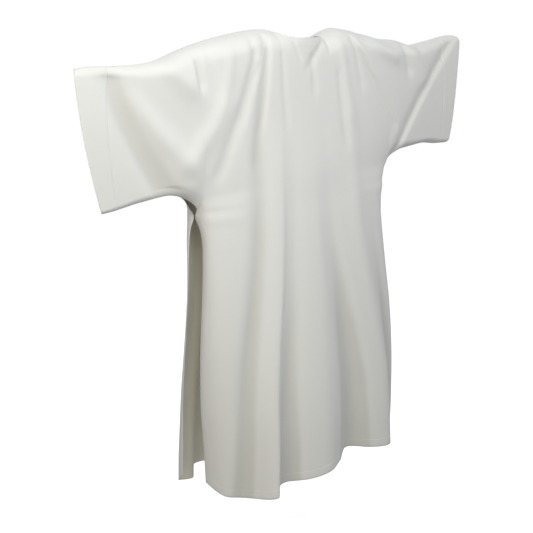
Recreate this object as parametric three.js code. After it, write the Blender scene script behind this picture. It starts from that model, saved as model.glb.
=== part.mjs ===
// A dalmatic: a wide T-shaped vestment of plain cloth, hanging open and hollow from the shoulders.
// Millimetres. +X is the wearer's left, -Y the front, +Z up. The origin is the middle of the neck, at the
// height of the shoulders. Each panel is cut in one with half of both sleeves. The two panels are sewn to
// each other along the shoulders and under the sleeves, and from the underarm to the hem the sides are open.

import * as THREE from 'three';

// ---- Driving dimensions ----

const HALF_SPAN = 710;          // middle of the shoulders to the end of a cuff, along the top of the sleeve
const SLIP = 12;                // how far the neck and sleeves have slipped to the left on the shoulders
const CUFF_TILT = { left: 60, right: 26 };   // how much nearer to the body a cuff's lower corner hangs
const CUFF_CURVE = 1.6;         // how much fuller than straight the line down a cuff's edge is
const CUFF_BAND = { top: 90, bottom: 50 };   // width of a sleeve's end band, along its top and its underside
const CUFF_SWING = 0.6;         // how far a cuff's end is sheared, forward half towards the body
const UNDERARM_DROP = 470;      // shoulder height to the top of the side slit
const UNDERARM_ROUND = 100;     // size of the curve from sleeve to side
const NECK_HALF = 90;           // half the width of the neck opening
const CLOTH = 2;                // wall of a panel
const BAND_CLOTH = 2.6;         // wall of a cuff band, which is folded double
const BAND_PROUD = 0.4;         // how far a band stands out of the panel beside it
const SEAM = 0.3;               // clear gap between the two panels at a seam
const BAND_SEAM = 0.6;          // the same between a panel and a band, whose slanted edges face each other
const INNER_ROOM = 6;           // least distance that a hollow leaves between a panel and the middle plane
const HEM_DROP = 1260;          // shoulder height to the hem, as the folds count it
const YOKE_DROP = 60;           // from here down the cloth leaves the shoulders' section for the body's
const BODY_DROP = 400;          // and from here down it has the body's section
const SEAM_CLOSING = 17;        // distance past the side over which the seam under the sleeve closes
const BODY_REACH = 0.2;         // share of a sleeve into which the body's section and long folds reach
const SWING_START = 430;        // distance out from which the sleeve swings to its cuff

const FAN_POWER = 1.5;          // how late down the cloth its lanes fan out
const FOLD_START = 0.35;        // share of a long fold over which it rises from nothing
const END_LENGTH = 1.6;         // how much longer a short fold's ends are than its half width
const SHOULDER_FADE = 0.2;      // share of the way to the underarm over which folds rise from the shoulder
const UNDERARM_FADE = 0.85;     // share of that way from which short folds sink back
const SEAM_FADE = 0.1;          // share of a sleeve over which long folds fade above its lower seam
const CROWDING = 0.45;          // how much closer together a sleeve's columns are by the body
const SLOPE_STEP = 0.004;       // step in lanes or rows at which a slope is measured

const UPPER_ROWS = 11;          // rows of faces from the shoulder to the underarm
const LOWER_ROWS = 11;          // rows of faces from the underarm to the hem
const BODY_COLUMNS = 36;        // columns of faces across the body
const SLEEVE_COLUMNS = 13;      // columns of faces from the body to the cuff band
const BAND_COLUMNS = 2;         // columns of faces across the cuff band

// The line along the top of the shoulders and sleeves: height of each side at a distance out.
const RIDGE = [
  { out: 78, left: 0, right: -20 },
  { out: 104, left: 5, right: -9 },
  { out: 140, left: 9, right: 0 },
  { out: 200, left: 6, right: -8 },
  { out: 260, left: -1, right: -22 },
  { out: 340, left: -14, right: -40 },
  { out: 410, left: -31, right: -48 },
  { out: 480, left: -51, right: -66 },
  { out: 540, left: -58, right: -62 },
  { out: 620, left: -57, right: -52 },
  { out: 680, left: -54, right: -47 },
  { out: 722, left: -56, right: -55 },
];

// The line along the underside of the sleeves.
const UNDERSIDE = [
  { out: 350, left: -400, right: -392 },
  { out: 420, left: -402, right: -386 },
  { out: 480, left: -402, right: -382 },
  { out: 560, left: -408, right: -378 },
  { out: 620, left: -416, right: -386 },
  { out: 680, left: -420, right: -390 },
];

// How far each panel stands from the middle plane, and how round it is over and under the sleeve.
const FULLNESS = [
  { out: 0, back: 60, front: 56, over: 58, under: 240 },
  { out: 120, back: 61, front: 57, over: 58, under: 230 },
  { out: 200, back: 62, front: 56, over: 56, under: 210 },
  { out: 300, back: 58, front: 52, over: 52, under: 150 },
  { out: 400, back: 49, front: 45, over: 44, under: 52 },
  { out: 500, back: 38, front: 35, over: 35, under: 28 },
  { out: 600, back: 28, front: 26, over: 27, under: 20 },
  { out: 722, back: 18, front: 17, over: 20, under: 12 },
];

// The body below the underarm, as half a tube: half widths to each side, how far its middle stands out, and
// how far the slit's edge does.
const BACK_BODY = [
  { drop: 60, left: 370, right: 352, middle: 56, edge: 53 },
  { drop: 300, left: 370, right: 352, middle: 74, edge: 53 },
  { drop: 400, left: 370, right: 344, middle: 84, edge: 46 },
  { drop: 440, left: 369, right: 340, middle: 88, edge: 32 },
  { drop: 470, left: 368, right: 336, middle: 91, edge: 3 },
  { drop: 510, left: 364, right: 326, middle: 97, edge: 18 },
  { drop: 560, left: 362, right: 321, middle: 104, edge: 25 },
  { drop: 700, left: 371, right: 332, middle: 125, edge: 30 },
  { drop: 850, left: 384, right: 350, middle: 149, edge: 34 },
  { drop: 1000, left: 388, right: 358, middle: 174, edge: 36 },
  { drop: 1120, left: 384, right: 354, middle: 190, edge: 40 },
  { drop: 1290, left: 380, right: 346, middle: 204, edge: 45 },
];
const FRONT_BODY = [
  { drop: 60, left: 370, right: 352, middle: 52, edge: 49 },
  { drop: 300, left: 370, right: 352, middle: 68, edge: 49 },
  { drop: 400, left: 370, right: 344, middle: 75, edge: 42 },
  { drop: 440, left: 370, right: 340, middle: 78, edge: 30 },
  { drop: 470, left: 370, right: 336, middle: 81, edge: 3 },
  { drop: 510, left: 372, right: 331, middle: 86, edge: 14 },
  { drop: 560, left: 374, right: 332, middle: 91, edge: 20 },
  { drop: 700, left: 377, right: 340, middle: 107, edge: 26 },
  { drop: 850, left: 381, right: 352, middle: 127, edge: 37 },
  { drop: 1000, left: 384, right: 362, middle: 146, edge: 49 },
  { drop: 1120, left: 386, right: 366, middle: 160, edge: 52 },
  { drop: 1290, left: 386, right: 368, middle: 174, edge: 60 },
];

// The section's roundness: powers of the circle's width and of each panel's depth, where a low power of depth
// is squarer and a high one is pointed at the sides.
const ROUNDNESS = [
  { drop: 60, width: 1.07, back: 2, front: 2 },
  { drop: 300, width: 1.04, back: 2, front: 2 },
  { drop: 400, width: 1.02, back: 1.8, front: 1.8 },
  { drop: 440, width: 1.01, back: 0.9, front: 0.9 },
  { drop: 470, width: 1, back: 0.45, front: 0.5 },
  { drop: 510, width: 0.98, back: 0.55, front: 0.7 },
  { drop: 700, width: 0.91, back: 0.6, front: 1.25 },
  { drop: 1000, width: 0.78, back: 0.78, front: 1.1 },
  { drop: 1200, width: 0.78, back: 0.78, front: 0.9 },
];

// The hem's height across the panel, from the right slit (-1) to the left slit (1).
const BACK_HEM = [
  { across: -1, height: -1236 },
  { across: -0.85, height: -1250 },
  { across: -0.60, height: -1253 },
  { across: -0.38, height: -1260 },
  { across: -0.23, height: -1249 },
  { across: -0.10, height: -1238 },
  { across: 0.05, height: -1252 },
  { across: 0.3, height: -1262 },
  { across: 0.55, height: -1276 },
  { across: 0.72, height: -1268 },
  { across: 0.85, height: -1257 },
  { across: 1, height: -1238 },
];
const FRONT_HEM = [
  { across: -1, height: -1238 },
  { across: -0.85, height: -1258 },
  { across: -0.4, height: -1278 },
  { across: 0, height: -1284 },
  { across: 0.3, height: -1300 },
  { across: 0.6, height: -1296 },
  { across: 0.85, height: -1282 },
  { across: 1, height: -1252 },
];

// Lanes run down the cloth and fan out towards the hem. A lane is named by where it starts across the
// shoulders, and `fan` is how much further out it ends. `share` spreads the columns of faces over them.
const BACK_LANES = [
  { share: 0, lane: -1, fan: 0 },
  { share: 0.12, lane: -0.70, fan: -0.07 },
  { share: 0.31, lane: -0.32, fan: -0.08 },
  { share: 0.43, lane: -0.11, fan: -0.01 },
  { share: 0.55, lane: 0.06, fan: 0.10 },
  { share: 0.69, lane: 0.17, fan: 0.20 },
  { share: 0.80, lane: 0.26, fan: 0.29 },
  { share: 0.88, lane: 0.42, fan: 0.32 },
  { share: 0.94, lane: 0.65, fan: 0.21 },
  { share: 1, lane: 1, fan: 0 },
];
const FRONT_LANES = [
  { share: 0, lane: -1, fan: 0 },
  { share: 0.12, lane: -0.65, fan: -0.13 },
  { share: 0.24, lane: -0.36, fan: -0.17 },
  { share: 0.38, lane: -0.18, fan: -0.08 },
  { share: 0.50, lane: 0, fan: 0 },
  { share: 0.62, lane: 0.18, fan: 0.09 },
  { share: 0.76, lane: 0.36, fan: 0.19 },
  { share: 0.88, lane: 0.65, fan: 0.14 },
  { share: 1, lane: 1, fan: 0 },
];

// Long folds run down the lanes. Half widths are in lanes, and rise is out of the cloth: both have a value
// at the fold's top, middle and hem. A lean above 0 makes a fold wider on its left and sharper on its right.
const BACK_LONG_FOLDS = [
  { name: 'crest', from: 100, lane: 0.18, wide: [0.04, 0.038, 0.034], rise: [4, 9, 44], lean: 0.45 },
  { name: 'hollow outside it', from: 20, lane: 0.30, wide: [0.05, 0.07, 0.10], rise: [-5, -13, -20] },
  { name: 'hollow inside it', from: 140, lane: 0.115, wide: [0.045, 0.042, 0.04], rise: [-4, -8, -34] },
  { name: 'middle roll', from: 250, lane: -0.01, wide: [0.05, 0.05, 0.05], rise: [3, 6, 20], lean: 0.4 },
  { name: 'deep valley', from: 100, lane: -0.11, wide: [0.05, 0.055, 0.06], rise: [-7, -10, -64] },
  { name: 'right roll', from: 60, lane: -0.32, wide: [0.06, 0.08, 0.09], rise: [7, 7, 20] },
  { name: 'right side hollow', from: 250, lane: -0.53, wide: [0.09, 0.10, 0.12], rise: [-6, -9, -58] },
];
const FRONT_LONG_FOLDS = [
  { name: 'left side hollow', from: 260, lane: 0.45, wide: [0.08, 0.11, 0.15], rise: [-4, -16, -42] },
  { name: 'left roll', from: 90, lane: 0.25, wide: [0.05, 0.06, 0.07], rise: [6, 9, 26] },
  { name: 'left hollow', from: 150, lane: 0.13, wide: [0.05, 0.06, 0.06], rise: [-6, -8, -34] },
  { name: 'middle roll', from: 300, lane: -0.01, wide: [0.06, 0.07, 0.08], rise: [3, 5, 18] },
  { name: 'right hollow', from: 120, lane: -0.18, wide: [0.05, 0.06, 0.08], rise: [-7, -9, -40] },
  { name: 'right roll', from: 70, lane: -0.36, wide: [0.05, 0.06, 0.08], rise: [7, 8, 26] },
  { name: 'right side hollow', from: 280, lane: -0.57, wide: [0.08, 0.09, 0.10], rise: [-5, -7, -16] },
];

// Short folds drape over the shoulders and sleeves, each from one place (out, height) to another, with its
// middle moved sideways by its bow. A lean makes it wider on one side of its run and sharper on the other.
const BACK_DRAPES = [
  { name: 'left dip', from: [630, -98], to: [482, -392], bow: 8, wide: [26, 36], rise: -24, lean: -0.2 },
  { name: 'left sleeve hollow', from: [550, -140], to: [430, -220], bow: 0, wide: [40, 50], rise: -5 },
  { name: 'left outer swag', from: [560, -150], to: [400, -330], bow: 10, wide: [24, 28], rise: 7 },
  { name: 'left inner swag', from: [420, -318], to: [300, -190], bow: 14, wide: [28, 26], rise: 5 },
  { name: 'left knob', from: [455, -80], to: [418, -112], bow: 0, wide: [30, 30], rise: 12 },
  { name: 'knob crease', from: [388, -62], to: [380, -112], bow: 0, wide: [12, 14], rise: -10, lean: -0.5 },
  { name: 'left shoulder hollow', from: [348, -60], to: [332, -130], bow: 0, wide: [14, 16], rise: -4 },
  { name: 'left shoulder roll', from: [284, -50], to: [378, -265], bow: -24, wide: [14, 22], rise: 5 },
  { name: 'left inner crease', from: [195, -45], to: [322, -350], bow: -6, wide: [11, 20], rise: -7 },
  { name: 'left main crease', from: [152, -20], to: [200, -330], bow: 0, wide: [10, 22], rise: -7 },
  { name: 'right neck crease', from: [-50, -34], to: [-4, -90], bow: 0, wide: [10, 14], rise: -4 },
  { name: 'right shoulder roll', from: [-125, -45], to: [-165, -240], bow: 0, wide: [16, 20], rise: 5 },
  { name: 'right crease', from: [-180, -35], to: [-373, -290], bow: 4, wide: [11, 14], rise: -5, lean: 0.3 },
  { name: 'right inner lobe', from: [-285, -50], to: [-358, -90], bow: 0, wide: [22, 20], rise: 9 },
  { name: 'right lobe valley', from: [-418, -66], to: [-440, -130], bow: 0, wide: [14, 16], rise: -8 },
  { name: 'right outer lobe', from: [-465, -92], to: [-510, -165], bow: 0, wide: [24, 24], rise: 8 },
  { name: 'right dip', from: [-655, -66], to: [-390, -386], bow: 10, wide: [18, 18], rise: -10, lean: 0.4 },
];
const FRONT_DRAPES = [
  { name: 'left dip', from: [655, -85], to: [460, -388], bow: 10, wide: [24, 32], rise: -13, lean: -0.5 },
  { name: 'left outer swag', from: [590, -195], to: [425, -312], bow: 16, wide: [28, 28], rise: 6 },
  { name: 'left inner swag', from: [415, -312], to: [290, -180], bow: 16, wide: [26, 24], rise: 5 },
  { name: 'left knob', from: [405, -78], to: [450, -116], bow: 0, wide: [30, 26], rise: 10 },
  { name: 'left crease', from: [245, -35], to: [330, -300], bow: -10, wide: [13, 22], rise: -7, lean: 0.2 },
  { name: 'left neck crease', from: [142, -20], to: [185, -250], bow: -4, wide: [11, 20], rise: -7 },
  { name: 'right neck crease', from: [-122, -24], to: [-165, -290], bow: 4, wide: [11, 18], rise: -7 },
  { name: 'right crease', from: [-225, -40], to: [-345, -320], bow: 10, wide: [13, 22], rise: -7 },
  { name: 'right knob', from: [-400, -80], to: [-468, -128], bow: 0, wide: [26, 24], rise: 10 },
  { name: 'right outer swag', from: [-580, -190], to: [-410, -305], bow: -16, wide: [28, 28], rise: 6 },
  { name: 'right dip', from: [-640, -85], to: [-430, -385], bow: -10, wide: [20, 26], rise: -12, lean: 0.5 },
];

const PANELS = {
  back: {
    name: 'back_panel', side: 'back', sign: 1, neck: { reach: 62, height: -17, power: 1.6 },
    body: BACK_BODY, hem: BACK_HEM, lanes: BACK_LANES,
    longFolds: BACK_LONG_FOLDS, drapes: BACK_DRAPES,
  },
  front: {
    name: 'front_panel', side: 'front', sign: -1, neck: { reach: 68, height: -88, power: 0.9 },
    body: FRONT_BODY, hem: FRONT_HEM, lanes: FRONT_LANES,
    longFolds: FRONT_LONG_FOLDS, drapes: FRONT_DRAPES,
  },
};

// ---- Curves ----

const clamp = THREE.MathUtils.clamp;
const lerp = THREE.MathUtils.lerp;
const ease = (x, low, high) => THREE.MathUtils.smoothstep(x, low, high);

/** A smooth curve through one column of a table: cubic pieces whose slopes are those of its neighbours. */
function along(rows, key, column, at) {
  const slope = (i) => {
    const before = rows[Math.max(i - 1, 0)];
    const after = rows[Math.min(i + 1, rows.length - 1)];
    return (after[column] - before[column]) / (after[key] - before[key]);
  };
  const x = clamp(at, rows[0][key], rows[rows.length - 1][key]);
  let i = 0;
  while (i < rows.length - 2 && x > rows[i + 1][key]) i += 1;
  const span = rows[i + 1][key] - rows[i][key];
  const t = (x - rows[i][key]) / span;
  const startWeight = (1 + 2 * t) * (1 - t) ** 2;
  const slopes = t * (1 - t) * ((1 - t) * slope(i) - t * slope(i + 1));
  return startWeight * rows[i][column] + (1 - startWeight) * rows[i + 1][column] + span * slopes;
}

/** A quarter circle's rise: 0 at the start, 1 from the distance `radius` on. */
const roundOver = (distance, radius) => Math.sqrt(1 - (1 - clamp(distance / radius, 0, 1)) ** 2);

/** A smooth curve through three values, at t = 0, 1/2 and 1. */
const through = ([a, b, c], t) => (1 - t) * (1 - 2 * t) * a + 4 * t * (1 - t) * b + t * (2 * t - 1) * c;

// ---- The cloth's surface before its folds ----
// `across` runs from -2 (right cuff) to 2 (left cuff), with the body between -1 and 1. `down` runs from 0 at
// the shoulder to 1 at the underarm, and on to 2 at the hem. Points have y > 0 on both panels here: the
// panel's sign puts the front one on the other side at the end.

/** A distance out to one side, for a garment that has slipped to its left. */
const slipped = (out, side) => out + (side === 'left' ? SLIP : -SLIP);

/** Whether a place lies between the two ends of the neck opening. */
const inNeckOpening = (x) => Math.abs(x) <= slipped(NECK_HALF, x >= 0 ? 'left' : 'right');

/** The share of the way from the shoulder to the underarm that a row has come: rows crowd at both ends. */
const fallShare = (down) => (1 - Math.cos(Math.PI * down)) / 2;

/** The share of the way to the hem that a row has come, from 0 at the shoulder. */
function dropShare(down) {
  const upper = UNDERARM_DROP / HEM_DROP;
  return down <= 1 ? upper * fallShare(down) : lerp(upper, 1, down - 1);
}

/** Where a lane lies across the panel at a row: lanes of the body fan out, and a sleeve's stay put. */
function laneAcross(panel, lane, down) {
  return lane + along(panel.lanes, 'lane', 'fan', lane) * dropShare(down) ** FAN_POWER;
}

/** The body's section at a height: how far out and how deep the cloth is at a share across it. */
function bodySection(panel, across, height) {
  const side = across >= 0 ? 'left' : 'right';
  const drop = -height;
  const turn = Math.abs(across) * Math.PI / 2;
  const outShare = Math.sin(turn) ** along(ROUNDNESS, 'drop', 'width', drop);
  const depthShare = Math.max(Math.cos(turn), 0) ** along(ROUNDNESS, 'drop', panel.side, drop);
  const edge = along(panel.body, 'drop', 'edge', drop);
  const middle = along(panel.body, 'drop', 'middle', drop);
  const x = Math.sign(across) * along(panel.body, 'drop', side, drop) * outShare;
  return { x, y: lerp(edge, middle, depthShare) };
}

/** A point of the cloth between the underarm and the hem. */
function lowerPoint(panel, across, down) {
  const z = lerp(-UNDERARM_DROP, along(panel.hem, 'across', 'height', across), down - 1);
  const { x, y } = bodySection(panel, across, z);
  return new THREE.Vector3(x, y, z);
}

/** A point of the cloth between the shoulder line and the underarm, in the body or a sleeve. */
function upperPoint(panel, across, down) {
  const side = across >= 0 ? 'left' : 'right';
  const inSleeve = Math.max(Math.abs(across) - 1, 0);
  const waist = panel.body[0][side];
  const inBody = clamp(across, -1, 1);
  const bodyOut = Math.abs(bodySection(panel, inBody, -YOKE_DROP).x);
  const topOut = bodyOut + inSleeve * (slipped(HALF_SPAN, side) - waist);
  const lowOut = topOut - inSleeve * CUFF_TILT[side];

  // Top edge: the shoulder seam, which opens round the neck as half an ellipse.
  const inNeck = Math.sqrt(Math.max(1 - (topOut / slipped(NECK_HALF, side)) ** 2, 0));
  const ridge = along(RIDGE, 'out', side, Math.max(topOut, slipped(NECK_HALF, side)));
  const topZ = lerp(ridge, panel.neck.height, inNeck ** panel.neck.power);
  const topY = SEAM / 2 + panel.neck.reach * inNeck;

  // Bottom edge: the seam under the sleeve, which curves down into the side.
  const curve = 1 - roundOver(lowOut - waist, UNDERARM_ROUND);
  const sleeveZ = lerp(along(UNDERSIDE, 'out', side, lowOut), -UNDERARM_DROP, curve);
  const lowZ = inSleeve > 0 ? sleeveZ : -UNDERARM_DROP;

  // Between them the cloth goes over the shoulder or arm, and hangs. The body takes up its own section on the
  // way down, and a sleeve turns in to its seam.
  const length = topZ - lowZ;
  const fall = length * fallShare(down);
  const z = topZ - fall;
  const section = bodySection(panel, inBody, z);
  const bodyShare = ease(-z, YOKE_DROP, BODY_DROP) * (1 - ease(inSleeve, 0, BODY_REACH));
  const depth = lerp(along(FULLNESS, 'out', panel.side, topOut), section.y, bodyShare);
  const hang = lerp(topY, depth, roundOver(fall, along(FULLNESS, 'out', 'over', topOut)));
  const turnedIn = roundOver(length - fall, along(FULLNESS, 'out', 'under', topOut));
  const seamShare = inSleeve > 0 ? 1 - Math.exp((waist - lowOut) / SEAM_CLOSING) : 0;
  const y = lerp(SEAM / 2, hang, lerp(1, turnedIn, seamShare));
  const out = Math.abs(section.x) - bodyOut + lerp(topOut, lowOut, (fall / length) ** CUFF_CURVE);
  return new THREE.Vector3(Math.sign(across) * out, y, z);
}

// ---- Folds ----

/** A distance beside a fold in its half widths, which a lean makes larger on one side than on the other. */
const leaning = (distance, wide, lean = 0) => distance / (wide * (1 + Math.sign(distance) * lean));

/** The rise of all the long folds at a lane and row. */
function longFoldRise(folds, lane, down) {
  let rise = 0;
  for (const fold of folds) {
    const t = clamp((dropShare(down) * HEM_DROP - fold.from) / (HEM_DROP - fold.from), 0, 1);
    const beside = leaning(lane - fold.lane, through(fold.wide, t), fold.lean);
    rise += through(fold.rise, t) * Math.exp(-(beside ** 2)) * ease(t, 0, FOLD_START);
  }
  return rise;
}

/** The rise of all the short folds at a place seen from the front. */
function drapeRise(drapes, x, z) {
  let rise = 0;
  for (const drape of drapes) {
    const start = new THREE.Vector2(...drape.from);
    const run = new THREE.Vector2(...drape.to).sub(start);
    const length = run.length();
    run.normalize();
    const here = new THREE.Vector2(x, z).sub(start);
    const s = here.dot(run) / length;
    const t = clamp(s, 0, 1);
    const sideways = run.x * here.y - run.y * here.x - drape.bow * 4 * t * (1 - t);
    const wide = lerp(drape.wide[0], drape.wide[1], t);
    const beside = leaning(sideways, wide, drape.lean);
    const past = (s - t) * length / (wide * END_LENGTH);
    rise += drape.rise * Math.exp(-(beside ** 2) - past ** 2);
  }
  return rise;
}

/** How far the cloth moves out along its normal: nothing at a seam, and hollows stop short of the middle. */
function foldRise(panel, lane, down, point) {
  const inSleeve = Math.max(Math.abs(lane) - 1, 0);
  let rise = Math.exp(-((inSleeve / BODY_REACH) ** 2)) * longFoldRise(panel.longFolds, lane, down);
  if (down <= 1) rise += drapeRise(panel.drapes, point.x, point.z) * (1 - ease(down, UNDERARM_FADE, 1));
  if (down < 0.5 && !inNeckOpening(point.x)) rise *= ease(down, 0, SHOULDER_FADE);
  if (down > 0.5 && down <= 1) rise *= 1 - ease(inSleeve, 0, SEAM_FADE) * ease(down, UNDERARM_FADE, 1);
  const room = Math.max(point.y - INNER_ROOM, 0.01);
  return rise < 0 ? -room * (1 - Math.exp(rise / room)) : rise;
}

// ---- The folded cloth ----

/** A point of the cloth before its folds. */
function basePoint(panel, lane, down) {
  const across = laneAcross(panel, lane, down);
  return down <= 1 ? upperPoint(panel, across, down) : lowerPoint(panel, across, down);
}

/** The outward normal of a surface, from its slopes across and down. */
function normalAt(surface, lane, down) {
  const limit = down > 1 ? 1 : 2;
  const beside = (move) => surface(clamp(lane + move, -limit, limit), down);
  const above = surface(lane, Math.max(down - SLOPE_STEP, 0));
  const below = surface(lane, Math.min(down + SLOPE_STEP, Math.abs(lane) > 1 ? 1 : 2));
  return beside(SLOPE_STEP).sub(beside(-SLOPE_STEP)).cross(below.sub(above)).normalize();
}

/** A point of the cloth with its folds and the swing of the cuff. */
function foldedPoint(panel, lane, down) {
  const base = basePoint(panel, lane, down);
  const normal = normalAt((u, v) => basePoint(panel, u, v), lane, down);
  const point = base.clone().addScaledVector(normal, foldRise(panel, lane, down, base));
  const swing = CUFF_SWING * ease(Math.abs(point.x), SWING_START, HALF_SPAN);
  point.x += swing * panel.sign * Math.sign(point.x) * point.y;
  return point;
}

/** A point of the cloth's outside and its outward normal, on the panel's own side of the middle plane. */
function clothAt(panel, lane, down, seams = {}) {
  const point = foldedPoint(panel, lane, down);
  const normal = normalAt((u, v) => foldedPoint(panel, u, v), lane, down);
  if (seams.sleeve) normal.setY(0).normalize();
  if (seams.cuff) normal.setX(0).normalize();
  const onSide = new THREE.Vector3(1, panel.sign, 1);
  return { point: point.multiply(onSide), normal: normal.multiply(onSide) };
}

// ---- Walls ----

/** A closed wall from its outer patch: an inner copy moved in by the cloth's thickness, and a rim. */
function thicken(places, quads, thickness, proud = 0) {
  const layer = (move) => places.map(({ point, normal }) => point.clone().addScaledVector(normal, move));
  const corners = [...layer(proud), ...layer(proud - thickness)];
  const count = places.length;
  const index = [];
  const sides = new Map();
  for (const [a, b, c, d] of quads) {
    index.push(a, b, c, a, c, d);
    index.push(a + count, c + count, b + count, a + count, d + count, c + count);
    for (const [from, to] of [[a, b], [b, c], [c, d], [d, a]]) {
      if (!sides.delete(`${to},${from}`)) sides.set(`${from},${to}`, [from, to]);
    }
  }
  for (const [from, to] of sides.values()) {
    index.push(from, from + count, to + count, from, to + count, to);
  }
  const geometry = new THREE.BufferGeometry();
  geometry.setAttribute('position', new THREE.Float32BufferAttribute(
    corners.flatMap((corner) => corner.toArray()), 3));
  geometry.setIndex(index);
  return geometry;
}

/** The share of a sleeve's length at which its band's seam lies at a row, or a gap short of it. */
function bandShare(side, down, gap = 0) {
  const width = lerp(CUFF_BAND.top, CUFF_BAND.bottom, fallShare(down)) + gap;
  return 1 - width / (slipped(HALF_SPAN, side) - BACK_BODY[0][side]);
}

/** A panel's columns, from the right band (-2) to the left one (2), closer together by the underarms. */
function panelColumns(panel) {
  const spread = (k) => (k / SLEEVE_COLUMNS) * (1 - CROWDING + CROWDING * k / SLEEVE_COLUMNS);
  const columns = [];
  for (let k = SLEEVE_COLUMNS; k > 0; k -= 1) columns.push(-1 - spread(k));
  for (let k = 0; k <= BODY_COLUMNS; k += 1) {
    columns.push(along(panel.lanes, 'share', 'lane', k / BODY_COLUMNS));
  }
  for (let k = 1; k <= SLEEVE_COLUMNS; k += 1) columns.push(1 + spread(k));
  return columns;
}

/** The lane of a column at a row: a sleeve's columns share out its length up to the band's seam. */
function columnLane(column, down) {
  const side = column > 0 ? 'left' : 'right';
  const inSleeve = Math.max(Math.abs(column) - 1, 0) * bandShare(side, down, BAND_SEAM);
  return Math.sign(column) * (Math.min(Math.abs(column), 1) + inSleeve);
}

/** A panel's wall: rows from the shoulder to the hem, with the sleeves' columns only above the underarm. */
function panelGeometry(panel) {
  const columns = panelColumns(panel);
  const last = columns.length - 1;
  const rows = UPPER_ROWS + LOWER_ROWS;
  const places = [];
  const at = new Map();
  for (let i = 0; i <= rows; i += 1) {
    const down = i <= UPPER_ROWS ? i / UPPER_ROWS : 1 + (i - UPPER_ROWS) / LOWER_ROWS;
    columns.forEach((column, j) => {
      if (down > 1 && Math.abs(column) > 1) return;
      const lane = columnLane(column, down);
      const onShoulder = down === 0 && !inNeckOpening(basePoint(panel, lane, down).x);
      const onUnderside = down === 1 && Math.abs(lane) > 1;
      const seams = { sleeve: onShoulder || onUnderside, cuff: j === 0 || j === last };
      at.set(`${i},${j}`, places.length);
      places.push(clothAt(panel, lane, down, seams));
    });
  }
  const quads = [];
  for (let i = 0; i < rows; i += 1) {
    for (let j = 0; j < last; j += 1) {
      const quad = [[i, j], [i + 1, j], [i + 1, j + 1], [i, j + 1]].map((corner) => at.get(corner.join()));
      if (quad.includes(undefined)) continue;
      quads.push(panel.sign > 0 ? quad.reverse() : quad);
    }
  }
  return thicken(places, quads, CLOTH);
}

/** A cuff band: one ring of cloth round the end of the sleeve, down the back half and up the front one. */
function bandGeometry(side) {
  const sign = side === 'left' ? 1 : -1;
  const around = UPPER_ROWS * 2;
  const places = [];
  for (let j = 0; j <= BAND_COLUMNS; j += 1) {
    for (let k = 0; k < around; k += 1) {
      const panel = k <= UPPER_ROWS ? PANELS.back : PANELS.front;
      const down = k <= UPPER_ROWS ? k / UPPER_ROWS : 2 - k / UPPER_ROWS;
      const lane = sign * (1 + lerp(bandShare(side, down), 1, j / BAND_COLUMNS));
      const onSeam = down === 0 || down === 1;
      const place = clothAt(panel, lane, down, { sleeve: onSeam, cuff: true });
      if (onSeam) place.point.setY(0);
      places.push(place);
    }
  }
  const quads = [];
  for (let j = 0; j < BAND_COLUMNS; j += 1) {
    for (let k = 0; k < around; k += 1) {
      const [a, b] = [j * around + k, j * around + (k + 1) % around];
      const quad = [a, b, b + around, a + around];
      quads.push(sign > 0 ? quad.reverse() : quad);
    }
  }
  return thicken(places, quads, BAND_CLOTH, BAND_PROUD);
}

// ---- The garment ----

const clothMaterial = (name, color) => new THREE.MeshStandardMaterial({
  name, color, roughness: 0.9, metalness: 0,
});
const wool = clothMaterial('ivory cloth', 0xece7da);
const bandWool = clothMaterial('ivory band', 0xeee9dc);

/** Adds one named piece of the garment to its group. */
function addPiece(group, name, geometry, material) {
  const mesh = new THREE.Mesh(geometry, material);
  mesh.name = name;
  group.add(mesh);
}

const dalmatic = new THREE.Group();
addPiece(dalmatic, PANELS.back.name, panelGeometry(PANELS.back), wool);
addPiece(dalmatic, PANELS.front.name, panelGeometry(PANELS.front), wool);
addPiece(dalmatic, 'left_cuff_band', bandGeometry('left'), bandWool);
addPiece(dalmatic, 'right_cuff_band', bandGeometry('right'), bandWool);

export default dalmatic;
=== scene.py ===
"""A plain ivory dalmatic, hanging open and hollow as if worn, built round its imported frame.

Two T-shaped panels, back and front, are each cut in one with half of both sleeves. They are sewn to each
other along the shoulders and under the sleeves, and from the underarm to the hem the sides are open. A band
closes the end of each sleeve. Lengths in tables are millimetres. +X is the wearer's left, +Y the back and
+Z up, and the origin is the middle of the neck at the height of the shoulders.
"""

from __future__ import annotations

import logging
import math
from dataclasses import dataclass, field
from enum import Enum
from typing import Callable, Sequence

import bpy
import numpy as np
from mathutils import Matrix, Vector


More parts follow.
